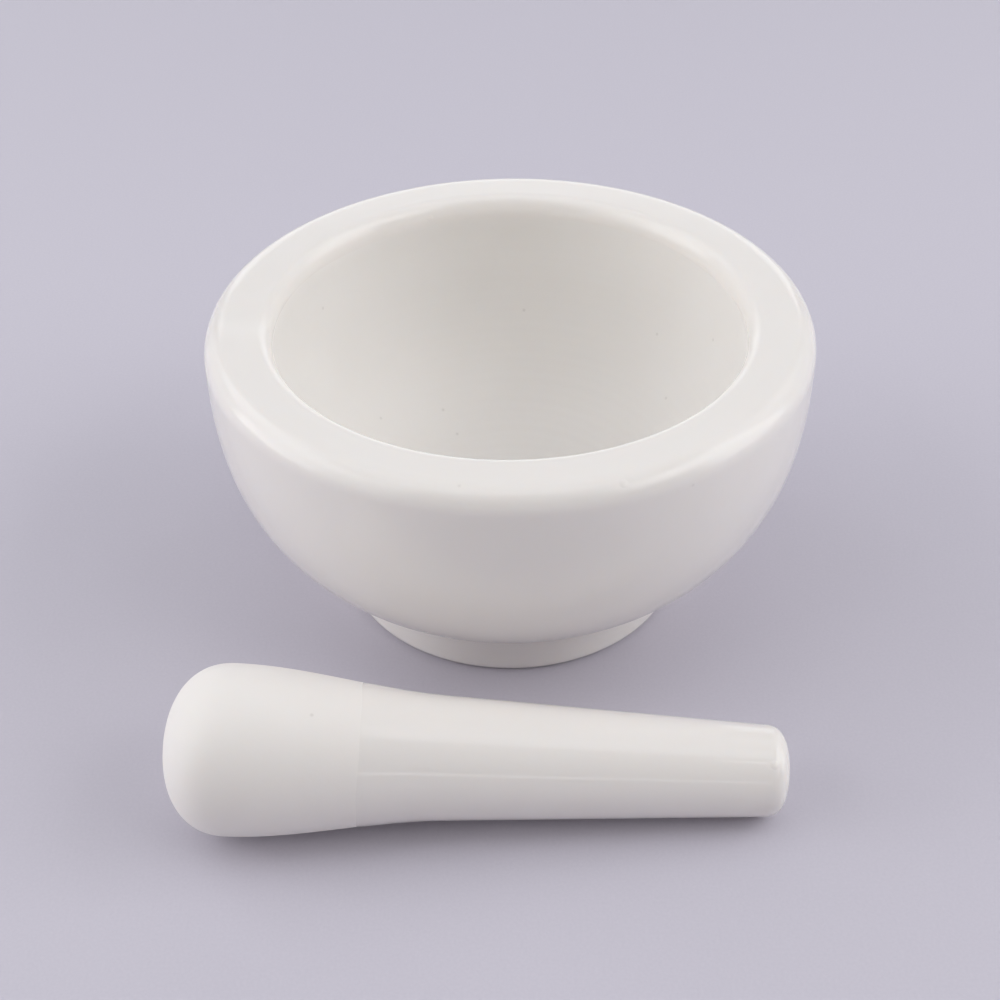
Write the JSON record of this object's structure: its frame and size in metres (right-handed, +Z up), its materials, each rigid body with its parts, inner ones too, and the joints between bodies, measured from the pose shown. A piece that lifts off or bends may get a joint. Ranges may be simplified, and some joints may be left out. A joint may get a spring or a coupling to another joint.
{
  "type": "mortar and pestle",
  "caption": "Round bowl with a thick flat rim, a shallow pouring lip and a short foot ring, with a round-headed pestle lying on its side in front of it.",
  "frame": {"origin": "middle of the pair's footprint, on the table top that both pieces stand or lie on", "axes": "+Z up along the mortar's axis. +Y from the pestle towards the mortar. +X from the pouring lip to the opposite side of the rim, and from the pestle's head to its grip"},
  "size_m": [0.1026, 0.1226, 0.053],
  "materials": {
    "mortar_porcelain": "gloss",
    "pestle_porcelain": "gloss"
  },
  "bodies": {
    "mortar": {"mortar": "mortar_porcelain"},
    "pestle": {"pestle": "pestle_porcelain"}
  },
  "joints": [
    {"name": "pestle_lift", "type": "slide", "parent": "mortar", "child": "pestle", "axis": [0, 0, 1], "range_m": [0, 0.08]}
  ]
}
